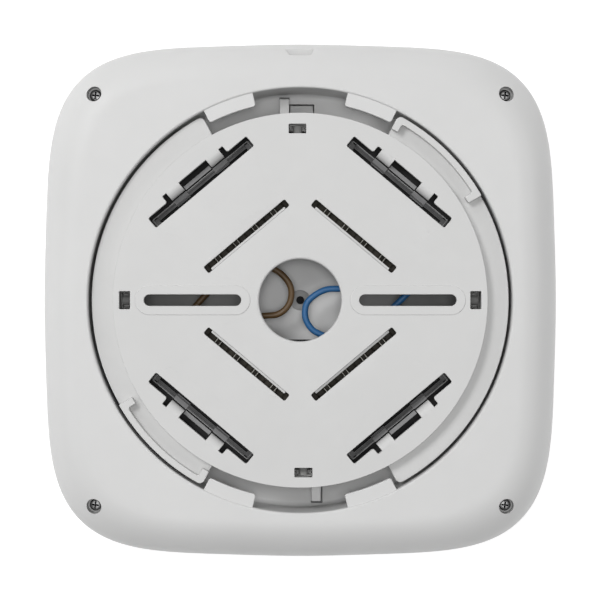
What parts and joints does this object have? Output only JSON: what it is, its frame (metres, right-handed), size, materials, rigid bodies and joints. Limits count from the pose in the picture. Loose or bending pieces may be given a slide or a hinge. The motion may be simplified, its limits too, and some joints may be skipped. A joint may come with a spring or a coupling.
{
  "type": "ceiling access point",
  "caption": "Square ceiling access point with rounded corners, seen from its back: a twist-lock mounting plate in a round well, mains leads, and a shell of electronics.",
  "frame": {"origin": "centre of the cable entry, on the rear face of the mounting plate's disc; the pads round the screw slots touch the ceiling 0.3 mm above it", "axes": "+Z towards the ceiling; +X along the line of the two ceiling screw slots; +Y towards the side with the release notch"},
  "size_m": [0.2106, 0.2106, 0.0483],
  "materials": {
    "plate_white": "fine moulded texture, off-white",
    "housing_white": "fine moulded texture, off-white",
    "cover_white": "satin, off-white",
    "socket_black": "dark grey moulded plastic",
    "spring_steel": "dull pressed steel",
    "seal_rubber": "matte, ribbed",
    "gasket_rubber": "matte",
    "screw_steel": "zinc plated",
    "terminal_black": "matte",
    "contact_brass": "plated",
    "button_orange": "satin",
    "lead_brown": "soft insulation",
    "lead_blue": "soft insulation",
    "chip_black": "moulded epoxy",
    "board_green": "solder mask",
    "board_tan": "paper laminate",
    "pad_blue": "matte",
    "heatsink": "extruded",
    "can_steel": "tinned",
    "led_white": "gloss",
    "light_pipe": "clear moulded plastic, frosted face",
    "tape_yellow": "tape",
    "winding_copper": "enamelled wire",
    "capacitor_sleeve": "shrink sleeve"
  },
  "bodies": {
    "unit": {"rear_housing": "housing_white", "well_floor": "housing_white", "front_cover": "cover_white", "cover_gasket": "gasket_rubber", "corner_screws": "screw_steel", "terminal_block": "terminal_black", "terminal_contacts": "contact_brass", "live_lead": "lead_brown", "neutral_lead": "lead_blue", "lead_grommets": "gasket_rubber", "reset_switch": "chip_black", "main_board": "board_green", "board_screws": "screw_steel", "processor": "chip_black", "thermal_pad": "pad_blue", "heat_spreader": "heatsink", "rf_shields": "can_steel", "ethernet_jack": "can_steel", "ethernet_contacts": "contact_brass", "ethernet_transformer": "chip_black", "antennas_24ghz": "can_steel", "antennas_5ghz": "can_steel", "status_led": "led_white", "status_light_pipe": "light_pipe", "power_board": "board_tan", "power_transformer": "tape_yellow", "input_choke": "winding_copper", "capacitors": "capacitor_sleeve", "fuse": "can_steel", "input_tabs": "can_steel", "power_link": "led_white"},
    "plate": {"mounting_plate": "plate_white", "plate_skirt": "plate_white", "clip_sockets": "socket_black", "clip_springs": "spring_steel", "slot_seals": "seal_rubber"},
    "detent": {"detent_tongue": "housing_white"},
    "reset": {"reset_button": "terminal_black"},
    "live_release": {"release_button_live": "button_orange"},
    "neutral_release": {"release_button_neutral": "button_orange"}
  },
  "joints": [
    {"name": "twist_lock", "type": "hinge", "parent": "unit", "child": "plate", "pos_m": [0, 0, -0.005], "axis": [0, 0, 1], "range_deg": [-21, 0]},
    {"name": "detent_flex", "type": "hinge", "parent": "unit", "child": "detent", "pos_m": [0.0005, 0.0619, -0.0268], "axis": [-1, 0, 0], "range_deg": [0, 4], "stiffness_Nm_per_rad": 0.6},
    {"name": "reset_press", "type": "slide", "parent": "unit", "child": "reset", "axis": [0, 0, -1], "range_m": [0, 0.0005], "stiffness_N_per_m": 800},
    {"name": "live_release_press", "type": "slide", "parent": "unit", "child": "live_release", "axis": [0, 0, -1], "range_m": [0, 0.001], "stiffness_N_per_m": 600},
    {"name": "neutral_release_press", "type": "slide", "parent": "unit", "child": "neutral_release", "axis": [0, 0, -1], "range_m": [0, 0.001], "stiffness_N_per_m": 600}
  ]
}
